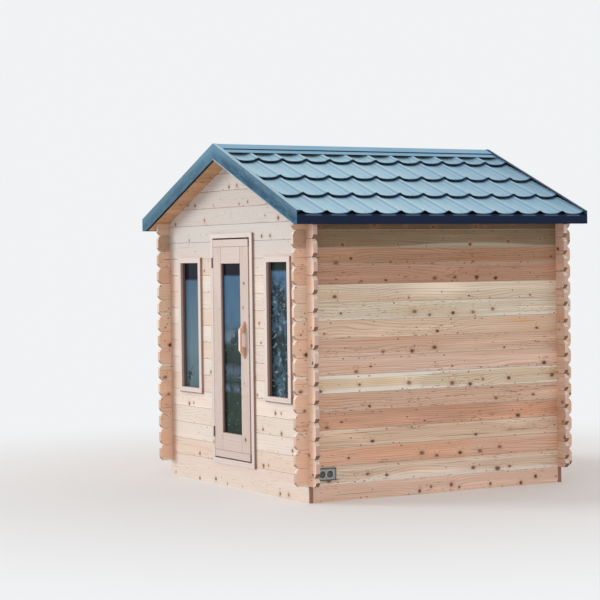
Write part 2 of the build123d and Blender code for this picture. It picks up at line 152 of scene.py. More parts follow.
# painted highlight and painted shade on the cut corners of the log ends
CUT_HIGHLIGHT = rgb(246, 234, 220)
NOTCH_SHADE = rgb(100, 66, 52)
EASED_BROWN = rgb(140, 102, 90)
AMBER = rgb(190, 134, 102)
KNOT_BROWN = rgb(100, 64, 38)
KNOT_BLACK = rgb(64, 40, 24)
RING_BROWN = rgb(152, 108, 70)
JOINT_BROWN = rgb(120, 82, 60)
END_SHADE = rgb(176, 130, 120)
PALER = (1.4, 1.42, 1.46, 1)
FIBRE_SHADE = (0.72, 0.6, 0.5, 1)

# Side walls, from the lowest log to the highest: a tone, and how much sapwood shows at the low and high edge.
# The two highest tones are painted shade from the eave
SIDE_LOGS = [CREAM, ORANGE_TAN, LIGHT_TAN, ORANGE, TAN, PALE, PINK, TAN, LIGHT_TAN, STRAW, WARM_STRAW, RUSSET,
             BROWN, EAVE_SHADED_OLIVE, EAVE_SHADOW_OLIVE]
SIDE_EDGES = [(0.9, 0), (0, 0.3), (0, 0.2), (0, 0), (0.1, 0), (1.0, 0.95), (0.3, 0), (0.2, 0), (0, 0),
              (0.7, 0), (0, 0), (0, 0), (0.1, 0), (0.25, 0), (0, 0)]

# Radii of knots, and how far apart the small ones are
KNOT_SIZES = (0.006, 0.017)
PIN_SIZES = (0.003, 0.007)
PIN_CELL = 0.06

EAVE_SHADE_ENDS = (2.02, 2.28)  # painted shade: log ends turn brown between these heights, under the eaves
PITH = 1.18  # the rings of the end grain are about a line this far from the middle
RINGS = 1900.0  # ring density, in radians a metre


def operator(operation):
    """A method that adds a Math node."""
    return lambda self, other=0.0: self.graph.math(operation, self, other)


class Value:
    """A socket of a node material. Arithmetic and comparisons on it add Math nodes."""

    __add__, __sub__ = operator("ADD"), operator("SUBTRACT")
    __mul__, __truediv__ = operator("MULTIPLY"), operator("DIVIDE")
    __gt__, __lt__ = operator("GREATER_THAN"), operator("LESS_THAN")
    __abs__ = operator("ABSOLUTE")

    def __init__(self, graph, socket):
        self.graph = graph
        self.socket = socket

    def __rsub__(self, other):
        return self.graph.math("SUBTRACT", other, self)

    def smooth(self, low, high, most=1.0, least=0.0):
        """An eased change, from least where this value is low to most where it is high."""
        inputs = {0: self, 1: low, 2: high, 3: least, 4: most}
        return self.graph.value("MapRange", inputs, interpolation_type="SMOOTHSTEP")

    def band(self, start, full, fading, end):
        """An eased band, 1 from full to fading and 0 outside start and end."""
        return self.smooth(start, full) * self.smooth(end, fading)

    def mix(self, amount, other, blend="MIX"):
        """This colour with an amount of another."""
        return self.graph.mix(amount, self, other, blend)


class Graph:
    """One node material, with short calls that add a node and return its output."""

    def __init__(self, name, **sockets):
        self.material = bpy.data.materials.new(name)
        self.material.use_nodes = True
        self.tree = self.material.node_tree
        self.shader = self.tree.nodes["Principled BSDF"]
        for socket, value in sockets.items():
            self.shader.inputs[socket.replace("_", " ")].default_value = value

    def node(self, kind, inputs, **settings):
        made = self.tree.nodes.new("ShaderNode" + kind)
        for key, value in settings.items():
            setattr(made, key, value)
        for key, value in inputs.items():
            source = value.socket if isinstance(value, Value) else value
            if isinstance(source, bpy.types.NodeSocket):
                self.tree.links.new(source, made.inputs[key])
            else:
                made.inputs[key].default_value = source
        return made

    def value(self, kind, inputs, output=0, **settings):
        return Value(self, self.node(kind, inputs, **settings).outputs[output])

    def math(self, operation, first, second=0.0):
        return self.value("Math", {0: first, 1: second}, operation=operation)

    def mix(self, amount, first, second, blend="MIX"):
        inputs = {0: amount, 6: first, 7: second}
        return self.value("Mix", inputs, output=2, data_type="RGBA", blend_type=blend)

    def vector(self, x, y, z):
        return self.value("CombineXYZ", {0: x, 1: y, 2: z})

    def split(self, vector):
        return [Value(self, output) for output in self.node("SeparateXYZ", {0: vector}).outputs]

    def noise(self, place, scale=1.0, detail=2.0, roughness=0.5):
        """Noise at a place, which is a vector or its three parts."""
        if isinstance(place, tuple):
            place = self.vector(*place)
        inputs = {"Vector": place, "Scale": scale, "Detail": detail, "Roughness": roughness}
        return self.value("TexNoise", inputs)

    def random(self, number):
        return self.value("TexWhiteNoise", {"W": number}, noise_dimensions="1D")

    def ramp(self, value, stops, steps=False):
        made = self.node("ValToRGB", {0: value})
        made.color_ramp.interpolation = "CONSTANT" if steps else "LINEAR"
        elements = made.color_ramp.elements
        elements[0].position, elements[0].color = stops[0]
        elements[1].position, elements[1].color = stops[-1]
        for position, color in stops[1:-1]:
            elements.new(position).color = color
        return Value(self, made.outputs[0])

    def attribute(self, name, output):
        return self.value("Attribute", {}, output=output, attribute_name=name)

    def place(self):
        """The object coordinates, which at rest are the part's own X, Y and Z."""
        return self.value("TexCoord", {}, output="Object")

    def facing(self):
        """The surface's own normal, as X, Y and Z."""
        return self.split(self.value("TexCoord", {}, output="Normal"))

    def finish(self, color, roughness=None, height=None, depth=0.0):
        """Links the colour to the shader, and roughness and bumps where they are given."""
        self.tree.links.new(color.socket, self.shader.inputs["Base Color"])
        if roughness:
            self.tree.links.new(roughness.socket, self.shader.inputs["Roughness"])
        if height:
            bump = self.node("Bump", {"Height": height, "Distance": depth, "Strength": 1.0})
            self.tree.links.new(bump.outputs[0], self.shader.inputs["Normal"])
        return self.material


class Wood(Graph):
    """Softwood. Each log or board has a place along, across and through it, and random numbers of its own.

    The index numbers the logs and their cut parts. The share is the place across one, from 0 to 1.
    """

    def __init__(self, name, run, course, start, seed, cuts, from_boards):
        super().__init__(name)
        self.run, self.course = run, course
        if from_boards:
            self.along, self.across, self.depth = self.split(self.attribute("grain", "Vector"))
            self.chosen = self.attribute("tone", "Fac")
            self.index = self.chosen * 97.0
            self.share = self.across / course
        else:
            x, y, z = self.x, self.y, self.z = self.split(self.place())
            self.normal = self.facing()
            self.along, self.across, self.depth = {"x": (x, z, y), "y": (y, z, x), "z": (z, x, y)}[run]
            self.level = (self.across - start) / course
            self.index = self.math("FLOOR", self.level)
            self.share = self.level - self.index
            for edge, low, high in cuts:
                self.index = (x > edge) * ((z > low) * (z < high)) * 31.7 + self.index
            self.chosen = self.random(self.index + (0.37 + seed))
        self.own = self.random(self.index + (8.6 + seed))
        self.moved = self.along + self.random(self.index + (5.2 + seed)) * 60.0

    def knot_cells(self, cell, density, sizes, stretch):
        """Knots of one size, in cells: distance over radius, whether one is there, darkness and distance."""
        smallest, largest = sizes
        along = self.moved / stretch
        bend = self.noise((along * 70.0, self.share * (70.0 * self.course), 4.0))
        bend = (bend - 0.5) * (largest / cell)
        spot = self.vector(along / cell + bend, self.share * (self.course / cell) - 0.14 - bend, 0.0)
        cells = self.node("TexVoronoi", {"Vector": spot, "Scale": 1.0, "Randomness": 0.72},
                          voronoi_dimensions="2D")
        red, green, blue = self.split(Value(self, cells.outputs["Color"]))
        distance = Value(self, cells.outputs["Distance"])
        radius = red * ((largest - smallest) / cell) + smallest / cell
        return distance / radius, green < density, blue, distance

    def find_knots(self, density, stretch):
        """Large knots in cells of about one log, and pin knots in small cells."""
        found = self.knot_cells(self.course, density, KNOT_SIZES, stretch)
        ratio, there, self.blackness, self.distance = found
        self.near = there * ratio.smooth(4.0, 1.2)
        self.halo = there * ratio.smooth(1.8, 0.9)
        self.core = there * ratio.smooth(1.05, 0.7) * (self.blackness * 0.35 + 0.65)
        ratio, there = self.knot_cells(PIN_CELL, density * 0.4, PIN_SIZES, stretch)[:2]
        self.pin = there * ratio.smooth(1.3, 0.7)

    def find_figure(self):
        """Streaks, growth rings that bend round knots, fibres, fine lines and broad patches."""
        moved, across, depth, own = self.moved, self.across, self.depth, self.own
        self.streak = self.noise((moved * 0.55, across * 17.0, depth), detail=3.0, roughness=0.55)
        self.drift = self.noise((moved * 1.1, across * 5.0, depth), detail=1.0)
        turns = self.distance * self.near * 9.0 + (self.drift * 9.0 + across * 58.0)
        self.rings = self.math("SINE", turns * 6.283) * 0.5 + 0.5
        self.fibre = self.noise((moved * 7.0, across * 420.0, depth * 420.0))
        self.line = self.noise((moved * 1.3, across * 110.0, own), roughness=0.4)
        self.patch = self.noise((moved * 0.8, across * 3.0, own))

    def by_course(self, tones):
        """The tone that a list gives for each course."""
        count = len(tones)
        stops = [((k + 0.02) / count if k else 0.0, tone) for k, tone in enumerate(tones)]
        return self.ramp((self.math("FLOOR", self.level) + 0.5) / float(count), stops, steps=True)

    def by_chance(self, tones):
        """A random tone for each log or board, from the range of a list."""
        return self.ramp(self.chosen, [(k / (len(tones) - 1), tone) for k, tone in enumerate(tones)])

    def paint_figure(self, color, figure):
        """Broad patches, streaks, rings and fibres."""
        color = color.mix(self.patch.smooth(0.40, 0.28, 0.34 * figure), AMBER, "SOFT_LIGHT")
        color = color.mix(self.patch.smooth(0.56, 0.72, 0.40 * figure), PALER, "MULTIPLY")
        color = color.mix(self.streak.smooth(0.50, 0.68, 0.34 * figure), PALER, "MULTIPLY")
        color = color.mix(self.streak.smooth(0.46, 0.30, 0.45 * figure), AMBER, "SOFT_LIGHT")
        color = color.mix(self.rings.smooth(0.55, 1.0, 0.24 * figure), AMBER, "MULTIPLY")
        color = color.mix(self.line.smooth(0.60, 0.72, 0.24 * figure), AMBER, "MULTIPLY")
        return color.mix(self.fibre.smooth(0.35, 0.7, 0.12), FIBRE_SHADE, "MULTIPLY")

    def paint_faults(self, color, figure):
        """Drying cracks, short dark flecks and knots."""
        crack = self.line.smooth(0.33, 0.26) * self.own.smooth(0.25, 0.6, 0.60, least=0.30)
        color = color.mix(crack * figure, JOINT_BROWN)
        fleck = self.noise((self.moved * 15.0, self.across * 150.0, self.own))
        color = color.mix(fleck.smooth(0.60, 0.70, 0.7 * figure) * self.drift.smooth(0.50, 0.58), JOINT_BROWN)
        color = color.mix(self.near * 0.16, AMBER)
        color = color.mix(self.halo * (self.own * 0.3 + 0.3), RING_BROWN)
        color = color.mix(self.core * 0.92, self.mix(self.blackness, KNOT_BROWN, KNOT_BLACK))
        return color.mix(self.pin * 0.75, KNOT_BROWN)

    def paint_grooves(self, color):
        """A fine dark line where two logs meet."""
        edge = self.math("MINIMUM", self.share, 1.0 - self.share) * self.course
        return color.mix(edge.smooth(0.0045, 0.001) * 0.10, JOINT_BROWN)

    def paint_ends(self, color, end_tone):
        """End grain, with curved rings about a pith outside the plank."""
        rise = (self.share - self.random(self.index + 2.9)) * self.course
        reach = abs(self.depth) - PITH
        rings = self.math("SINE", self.math("SQRT", rise * rise + reach * reach) * RINGS)
        end = self.mix(rings.smooth(-0.2, 1.0, 0.25), end_tone, AMBER, "MULTIPLY")
        end = end.mix(self.own * 0.45, END_SHADE, "MULTIPLY")
        speckle = self.noise((self.depth, self.across, self.along), 60.0, 3.0, 0.6)
        end = end.mix(speckle.smooth(0.55, 0.75, 0.25), JOINT_BROWN)
        return color.mix(abs(self.normal["xyz".index(self.run)]).smooth(0.7, 0.85), end)

    def paint_cut_light(self, color, notch_shade):
        """The cut corners of the log ends: painted shade on those that look down, a painted highlight on those
        that look up.
        """
        color = color.mix(self.normal[2].smooth(-0.12, -0.3, 0.85), notch_shade)
        return color.mix(self.normal[2].smooth(0.12, 0.3, 0.7), CUT_HIGHLIGHT)


def wood(name, run, tones, course=LOG, start=0.0, seed=0, cuts=(), from_boards=False, listed=False,
         knots=0.30, stretch=1.0, figure=1.0, joints=True, end_tone=CREAM, notch_shade=NOTCH_SHADE, under=(),
         over=()):
    """Softwood whose grain runs one way. Layers in under lie beneath its cracks and knots, in over on top."""
    timber = Wood(name, run, course, start, seed, cuts, from_boards)
    timber.find_knots(knots, stretch)
    timber.find_figure()
    color = timber.paint_figure(timber.by_course(tones) if listed else timber.by_chance(tones), figure)
    for paint in under:
        color = paint(timber, color)
    color = timber.paint_faults(color, figure)
    if joints:
        color = timber.paint_grooves(color)
    if not from_boards:
        color = timber.paint_ends(color, end_tone)
    if joints:
        color = timber.paint_cut_light(color, notch_shade)
    for paint in over:
        color = paint(timber, color)
    height = timber.core * 0.5 + (timber.fibre * 0.25 + timber.rings * 0.12)
    return timber.finish(color, timber.streak.smooth(0.3, 0.7, 0.76, least=0.60), height, 0.0012)


def layer(paint):
    """Lets a painting function take its sizes and tones first, and its graph and colour later."""
    return lambda *chosen: lambda graph, color: paint(graph, color, *chosen)


@layer
def past_corner_shade(timber, color, inner, tone):
    """Painted warm shade, as of light bounced between the log ends, where the logs run on past the corner."""
    return color.mix(abs(timber.along).smooth(inner, inner + 0.012) * (timber.own * 0.5 + 0.35), tone)


@layer
def side_shadow(timber, color, near_x, far_x, most, tone):
    """Painted shadow: a warmer, darker tone towards one side of the wall, beside the log ends past the corner.
    """
    return color.mix(timber.x.smooth(near_x, far_x, most), tone)


@layer
def under_eaves(timber, color, low_z, high_z, most, tone):
    """Painted shade under the eaves: a greyer wall towards the roof, and browner log ends beside it."""
    between = abs(timber.x) < WALL_FACE
    color = color.mix(timber.z.smooth(low_z, high_z, most) * between, tone)
    return color.mix(timber.z.smooth(*EAVE_SHADE_ENDS, 0.7) * (1.0 - between), EAVE_SHADE_BROWN)


@layer
def dark_foot(timber, color, low_z, height, tone):
    """A shaded line along the foot of a piece."""
    return color.mix(timber.z.smooth(low_z + height, low_z + height * 0.7, 0.85), tone)


@layer
def pale_edges(timber, color, edges):
    """Sapwood along the edges of some courses, in a wandering band."""
    low_edge, high_edge = timber.split(timber.by_course([(*edge, 0, 1) for edge in edges]))[:2]
    wander = timber.patch.smooth(0.35, 0.65) * 0.028 + 0.008
    for share, amount in ((timber.share, low_edge), (1.0 - timber.share, high_edge)):
        color = color.mix((share * timber.course - wander).smooth(0.008, -0.010) * amount, EDGE_PALE)
    return color


@layer
def shaded_right_sides(timber, color, side_shade, reveals=()):
    """Painted shade on the sides that face right and inside each reveal, and brown eased edges. A reveal has
    an outer and a more shaded inner tone.
    """
    beside = timber.normal[0].smooth(0.6, 0.8, 0.9)
    color = color.mix(beside, side_shade)
    for edge, middle, tone, inner_tone in reveals:
        reveal = timber.mix(timber.y.smooth(middle - 0.003, middle + 0.003), tone, inner_tone)
        color = color.mix(beside * (abs(timber.x - edge) < 0.004), reveal)
    eased = timber.normal[1].band(-0.9, -0.8, -0.6, -0.5)
    return color.mix(eased * 0.75, EASED_BROWN)


@layer
def sunlit_round(timber, color, tone, shade, outer_y, inner_y):
    """A rounded grip with a painted highlight on the left, where the sun is, and painted shade towards the
    leaf.
    """
    to_sun = timber.normal[0] * -0.62 + timber.normal[1] * -0.78
    color = color.mix(to_sun.smooth(0.60, 0.92) * timber.normal[2].smooth(-0.55, -0.15), tone)
    return color.mix(timber.y.smooth(outer_y, inner_y, 0.45), shade)


def joinery(name, run, tones, side_shade, knots=0.04, figure=0.5, reveals=(), **more):
    """Planed wood of the frames and the door, with painted shade on the sides that face right."""
    return wood(name, run, tones, course=0.2, knots=knots, joints=False, figure=figure,
                over=[shaded_right_sides(side_shade, reveals)], **more)


class Steel(Graph):
    """Sheet steel, with a place up the slope, out from the soffit, and along the tiles' wave."""

    def __init__(self, name, shine):
        super().__init__(name, Specular_IOR_Level=shine)
        self.x, self.y, self.z = self.split(self.place())
        self.normal = self.facing()
        inward = EAVE_X - abs(self.x)
        above = self.z - EAVE_Z
        self.up_slope = inward * COS + above * SIN
        self.out = above * COS - inward * SIN
        along = self.y * self.math("SIGN", self.x)
        self.phase = self.math("FRACT", (along - (FIRST_CREST - CREST_FOOT)) / WAVE) * WAVE


def painted_steel(name, top, side, under, roughness=0.42, shine=0.3, left_side=None, layers=()):
    """Painted sheet steel, with a pale painted sky reflection where it faces the sky, deep where it stands
    upright, and painted shade where it faces down.
    """
    steel = Steel(name, shine)
    if left_side:
        side = steel.mix(steel.x < 0.0, side, left_side)
    color = steel.mix(steel.normal[2].smooth(-0.05, -0.35), side, under)
    color = color.mix(steel.normal[2].smooth(0.42, 0.66), top)
    for paint in layers:
        color = paint(steel, color)
    cloud = steel.noise(steel.place(), 2.6, 3.0, 0.6)
    color = color.mix(cloud.smooth(0.35, 0.7, 0.12), (0.55, 0.68, 0.78, 1), "MULTIPLY")
    streak = steel.noise((steel.x * 3.0, steel.y * 42.0, steel.z))
    color = color.mix(streak.smooth(0.55, 0.72, 0.14), (0.6, 0.72, 0.8, 1), "MULTIPLY")
    grit = steel.noise(steel.place(), 420.0)
    color = color.mix(grit.smooth(0.55, 0.75, 0.08), (0.5, 0.55, 0.6, 1), "MULTIPLY")
    ripple = steel.noise(steel.place(), 9.0, 1.0)
    gloss = cloud.smooth(0.3, 0.7, roughness + 0.07, least=roughness - 0.05)
    return steel.finish(color, gloss, grit * 0.04 + ripple, 0.0012)


@layer
def flange_shadow(steel, color, inner, outer, tone):
    """Painted shadow: a dark strip on the flange that laps over the sheets, for the shaded gap beneath it."""
    return color.mix(steel.y.band(inner - 0.001, inner, outer - 0.002, outer), tone)


@layer
def verge_face(steel, color, hem, hem_highlight):
    """The verge's upright face: a painted highlight along its hem on the right slope, blotches, and paler
    towards the ridge.
    """
    upright = abs(steel.normal[1]) > 0.7
    lit = upright * (steel.x > 0.0) * 0.7
    color = color.mix(steel.out.smooth(hem + 0.002, hem) * lit, hem_highlight)
    mottle = steel.noise((steel.up_slope * 9.0, steel.y, steel.out * 40.0), detail=3.0, roughness=0.6)
    color = color.mix(mottle.smooth(0.42, 0.66, 0.45) * upright, rgb(84, 128, 154))
    color = color.mix(steel.out.smooth(0.04, 0.12, 0.25) * upright, rgb(136, 172, 190))
    return color.mix(steel.z.smooth(2.75, 3.05, 0.5) * upright, rgb(108, 158, 184))


@layer
def scallop_highlight(steel, color, height, tone):
    """A painted highlight: a pale line under each pan of the tiles, along the top of the eave trim's face."""
    pan = steel.phase.band(0.060, 0.100, WAVE - 0.030, WAVE)
    line = steel.z.band(height + 0.003, height + 0.005, height + 0.013, height + 0.015)
    return color.mix(line * pan * 0.5, tone)


def tile_light(steel, color):
    """Painted light: a highlight along one line of each crest with painted shade beside it, and painted shade
    on each row under the one above and at its foot.
    """
    facing_up = steel.normal[2].smooth(0.42, 0.66)
    fall = steel.phase.smooth(0.13, WAVE)
    flank = steel.phase.band(0.002, 0.014, 0.030, 0.036)
    line = steel.phase.band(0.032, 0.040, 0.050, 0.058)
    shade = steel.phase.band(0.052, 0.060, 0.070, 0.092)
    color = color.mix(fall * facing_up * 0.30, rgb(126, 164, 192))
    color = color.mix(flank * facing_up * 0.50, rgb(112, 150, 180))
    color = color.mix(line * facing_up * 0.85, rgb(226, 246, 252))
    color = color.mix(shade * facing_up * 0.65, rgb(92, 130, 158))
    color = color.mix(steel.y.smooth(-0.5, 1.5, 0.35), rgb(112, 156, 188))
    row = steel.math("FRACT", (steel.up_slope - TILE_FOOT) / TILE_ROW) * TILE_ROW
    color = color.mix(row.smooth(TILE_ROW - 0.038, TILE_ROW - 0.004, 0.7), rgb(48, 78, 104))
    return color.mix(row.smooth(0.010, 0.003, 0.75), rgb(34, 58, 82))


def plain_finish(name, color, roughness, metallic, grain, border=None):
    """A moulded or cast surface, with a fine grain, darker round the border of a plate."""
    graph = Graph(name, Metallic=metallic)
    grit = graph.noise(graph.place(), grain, 3.0, 0.6)
    tone = graph.mix(grit.smooth(0.35, 0.7, 0.35), color, tuple(c * 0.6 for c in color[:3]) + (1,))
    if border:
        low, high, width, border_tone = border
        y, z = graph.split(graph.place())[1:]
        from_ends = graph.math("MINIMUM", y - low.y, high.y - y)
        inset = graph.math("MINIMUM", from_ends, graph.math("MINIMUM", z - low.z, high.z - z))
        tone = tone.mix(inset.smooth(width, width * 0.7, 0.85), border_tone)
    return graph.finish(tone, grit.smooth(0.3, 0.7, roughness + 0.08, least=roughness - 0.06), grit, 0.0004)


def pane(name, views):
    """Tinted glass with painted reflections. Each view has a left edge with a painted shadow, reflection tones
    by height, and dark and light reflected shapes low down.
    """
    graph = Graph(name, Roughness=0.06, IOR=1.45, Specular_IOR_Level=0.1, Alpha=0.93)
    x, _, z = graph.split(graph.place())
    # painted reflections: dark foliage shapes, a wash and light patches
    dark = graph.noise((x * 8.0, 0.0, z * 6.5), detail=5.0, roughness=0.70)
    reflection_wash = graph.noise((x * 34.0, 7.0, z * 5.0), detail=3.0, roughness=0.6)
    light = graph.noise((x * 12.0, 3.0, z * 26.0), detail=4.0, roughness=0.62)
    color = None
    for left_edge, shapes_below, dark_from, light_from, bands in views:
        bottom, top = bands[0][0], bands[-1][0]
        view = graph.ramp((z - bottom) / (top - bottom),
                      [((level - bottom) / (top - bottom), rgb(*tone)) for level, *tone in bands])
        view = view.mix(reflection_wash.smooth(0.45, 0.70, 0.35), rgb(104, 140, 150), "SOFT_LIGHT")
        lower = z.smooth(shapes_below + 0.10, shapes_below - 0.10)
        view = view.mix(dark.smooth(dark_from, dark_from + 0.05, 0.85) * lower, rgb(18, 34, 34))
        view = view.mix(light.smooth(light_from, light_from + 0.10, 0.6) * lower, rgb(140, 164, 178))
        # painted shadow of the frame along the pane's left edge
        view = view.mix(x.smooth(left_edge + 0.014, left_edge + 0.006, 0.85), rgb(30, 26, 30))
        color = view if color is None else color.mix(x > left_edge - 0.05, view)
    return graph.finish(color)


# Logs and boards
front_wood = wood(
    "front_wood", "x", [SUN_PINK, SUN_CREAM, SUN_PALE, SUN_TAN, SUN_PINK], start=END_START, seed=3,
    knots=0.24, figure=0.5, end_tone=END_PINK, cuts=[(x, WINDOW_LOW, WINDOW_HIGH) for x in LOG_CUTS],
    under=[past_corner_shade(WALL_FACE, WARM_CORNER_SHADE), side_shadow(-1.13, -1.27, 0.6, rgb(192, 134, 102)),
           under_eaves(1.85, 2.2, 0.8, rgb(198, 194, 189))])
gable_wood = wood("gable_wood", "x", [rgb(194, 190, 184), rgb(202, 196, 190), rgb(197, 188, 181)],
                  start=END_START, seed=4, knots=0.42, figure=0.45)
back_wood = wood("back_wood", "x", [PINK, TAN, CREAM, ORANGE, TAN], start=END_START, seed=11,
                 end_tone=END_PINK)
side_wood = wood("side_wood", "y", SIDE_LOGS, listed=True, start=SIDE_START, seed=5, knots=0.42,
                 stretch=1.4, figure=1.35, end_tone=rgb(226, 204, 184), notch_shade=rgb(150, 112, 92),
                 under=[past_corner_shade(1.25, WARM_CORNER_SHADE), pale_edges(SIDE_EDGES)])
side_base_wood = wood("side_base_wood", "y", [rgb(240, 208, 188)] * 2, seed=6, knots=0.45, joints=False)
base_wood = wood("base_wood", "x", [SUN_PINK, SUN_CREAM], seed=2, figure=0.55, joints=False,
                 end_tone=rgb(168, 124, 108))
floor_wood = wood("floor_wood", "x", [TAN, CREAM, ORANGE], course=FLOOR_BOARD, from_boards=True, knots=0.25,
                  joints=False)
soffit_wood = wood("soffit_wood", "y", [rgb(178, 136, 100), rgb(200, 156, 120), rgb(190, 146, 108)],
                   course=SOFFIT_BOARD, from_boards=True, joints=False)
batten_wood = wood("batten_wood", "y", [TAN, CREAM], course=0.06, knots=0.2, joints=False)
joist_wood = wood("joist_wood", "y", [TAN, CREAM], knots=0.2, joints=False)

# Door and windows
LEAF = [rgb(210, 196, 188), rgb(202, 186, 177)]
FRAME = [rgb(218, 206, 200), rgb(212, 200, 194)]
# painted shade on the sides that face right; the rail ends' tone is also their darker end grain
FRAME_SIDE_SHADE = rgb(150, 112, 100)
RAIL_END_GRAIN_AND_SHADE = rgb(58, 44, 44)
frame_uprights = joinery("frame_uprights", "z", FRAME, rgb(148, 118, 106), knots=0.05)
frame_levels = joinery("frame_levels", "x", FRAME, FRAME_SIDE_SHADE)
window_levels = joinery("window_levels", "x", FRAME, FRAME_SIDE_SHADE,
                        under=[dark_foot(WINDOW_LOW, 0.009, rgb(104, 78, 70))])
window_uprights = joinery(
    "window_uprights", "z", FRAME, rgb(166, 130, 116), knots=0.05,
    reveals=[(x, WINDOW_MIDDLE, rgb(206, 174, 164), rgb(120, 92, 82)) for x in WINDOW_GLASS])
leaf_uprights = joinery("leaf_uprights", "z", LEAF, rgb(196, 168, 156), knots=0.22, figure=0.6,
                        reveals=[(DOOR_GLASS, DOOR_MIDDLE, rgb(200, 170, 164), rgb(96, 74, 74))])
level_wood = joinery("level_wood", "x", LEAF, FRAME_SIDE_SHADE)
end_rail_wood = joinery("end_rail_wood", "x", LEAF, RAIL_END_GRAIN_AND_SHADE, end_tone=RAIL_END_GRAIN_AND_SHADE)
handle_wood = wood("handle_wood", "z", [rgb(226, 186, 162), rgb(218, 176, 152)], course=0.2, knots=0.0,
                   joints=False, over=[sunlit_round(rgb(252, 244, 232), rgb(150, 100, 76), *HANDLE_SHADE)])
door_pane = pane("door_pane", [(DOOR_GLASS, 1.40, 0.52, 0.60, [
    (0.48, 26, 42, 36), (0.60, 38, 56, 44), (0.83, 36, 54, 44), (0.865, 78, 98, 118), (0.90, 62, 82, 92),
    (0.93, 34, 50, 42), (0.96, 52, 72, 78), (1.03, 74, 94, 112), (1.10, 34, 50, 46), (1.25, 44, 66, 62),
    (1.30, 92, 112, 130), (1.34, 96, 116, 132), (1.40, 72, 100, 118), (1.46, 74, 106, 132),
    (1.858, 72, 106, 136), (1.872, 12, 14, 28), (1.98, 16, 26, 34)])])
window_pane = pane("window_pane", [
    (WINDOW_GLASS[0], 1.06, 0.54, 0.62, [
        (0.84, 84, 108, 114), (1.20, 98, 122, 134), (1.60, 84, 112, 132), (1.815, 76, 104, 128),
        (1.835, 26, 20, 42), (1.90, 24, 28, 42), (1.99, 24, 40, 42)]),
    (WINDOW_GLASS[1], 1.83, 0.47, 0.54, [
        (0.84, 60, 90, 104), (1.20, 56, 80, 92), (1.70, 66, 94, 116), (1.895, 78, 114, 146),
        (1.915, 28, 46, 42), (1.99, 22, 38, 34)])])

# Steel, rubber and plastic
FLANGE_INNER, FLANGE_OUTER = (corner.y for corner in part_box("verge_trim_back_right"))
# each steel's first tone is a painted sky reflection, its last painted shade
cap_steel = painted_steel("cap_steel", rgb(140, 194, 228), rgb(14, 38, 60), rgb(12, 18, 28))
tile_steel = painted_steel("tile_steel", rgb(192, 234, 255), rgb(50, 88, 118), rgb(50, 86, 118),
                           layers=[tile_light])
verge_steel = painted_steel("verge_steel", rgb(186, 218, 234), rgb(36, 74, 97), rgb(6, 8, 12), shine=0.08,
                            left_side=rgb(60, 96, 116),
                            layers=[flange_shadow(FLANGE_INNER, FLANGE_OUTER - 0.012, rgb(22, 34, 66)),
                                    verge_face(0.006, rgb(196, 208, 214))])
eave_steel = painted_steel("eave_steel", rgb(26, 40, 66), rgb(24, 38, 66), rgb(12, 14, 18), roughness=0.6,
                           shine=0.12,
                           layers=[scallop_highlight(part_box("eave_trim_right")[0].z + EAVE_FACE, rgb(104, 134, 162))])
hinge_steel = plain_finish("hinge_steel", rgb(126, 110, 106), 0.45, 0.3, 300.0)
screw_steel = plain_finish("screw_steel", rgb(172, 206, 224), 0.4, 0.1, 300.0)
seal_rubber_gap_shade = plain_finish("seal_rubber_gap_shade", rgb(14, 8, 10), 0.95, 0.0, 700.0)
vent_plastic = plain_finish("vent_plastic", rgb(158, 162, 160), 0.5, 0.0, 500.0,
                            border=(*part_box("vent_plate"), 0.012, rgb(84, 80, 70)))
vent_rim = plain_finish("vent_rim", rgb(196, 200, 200), 0.45, 0.0, 500.0)
vent_dark = plain_finish("vent_dark", rgb(54, 58, 60), 0.5, 0.0, 500.0)

# The material of each node, by the start of its name
FINISHES = {
    "front_wall": front_wood, "front_gable": gable_wood, "back_wall": back_wood, "back_gable": back_wood,
    "left_wall": side_wood, "right_wall": side_wood, "base_beams_sides": side_base_wood,
    "base_beams_front_back": base_wood, "floor_joists": joist_wood, "roof_battens": batten_wood,
    "ridge_cap": cap_steel, "verge_trim": verge_steel, "eave_trim": eave_steel, "hinge": hinge_steel,
    "door_jambs": frame_uprights, "window_jambs": window_uprights, "door_stiles": leaf_uprights,
    "door_head": frame_levels, "door_sill": frame_levels, "window_heads": window_levels,
    "window_sills": window_levels, "door_end_rails": end_rail_wood, "door_rails": level_wood,
    "door_glass": door_pane, "window_panes": window_pane, "vent_plate": vent_plastic,
    "vent_grilles": vent_dark,
}
for node_name, node in nodes.items():
    for start, material in FINISHES.items():
        if node_name.startswith(start):
            node.data.materials.clear()
            node.data.materials.append(material)


def piece(name, body, material, vertices, faces, replaced=(), smooth=False):
    """A new mesh piece of the part, on its body."""
    mesh = bpy.data.meshes.new(name)
    mesh.from_pydata([tuple(v) for v in vertices], [], faces)
    mesh.materials.append(material)
    if smooth:
        mesh.shade_smooth()
    made = bpy.data.objects.new(name, mesh)
    scene.collection.objects.link(made)
    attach(made, body)
    if replaced:
        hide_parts(*replaced)
    return made


def prism_faces(first, size, rows, closed=False):
    """Faces between rows of points, each row a closed outline. The ends are capped unless the rows close."""
    faces = []
    for row in range(rows if closed else rows - 1):
        here, there = first + row * size, first + (row + 1) % rows * size
        for i in range(size):
            j = (i + 1) % size
            faces.append((here + i, there + i, there + j, here + j))
    if not closed:
        faces.append(tuple(first + i for i in range(size)))
        faces.append(tuple(first + (rows - 1) * size + i for i in reversed(range(size))))
    return faces


def on_slope(side, up, out, y):
    """A point of the roof, so far up the slope and out from the soffit. Side is 1 right or -1 left."""
    return Vector((side * (EAVE_X - COS * up + SIN * out), side * y, EAVE_Z + SIN * up + COS * out))


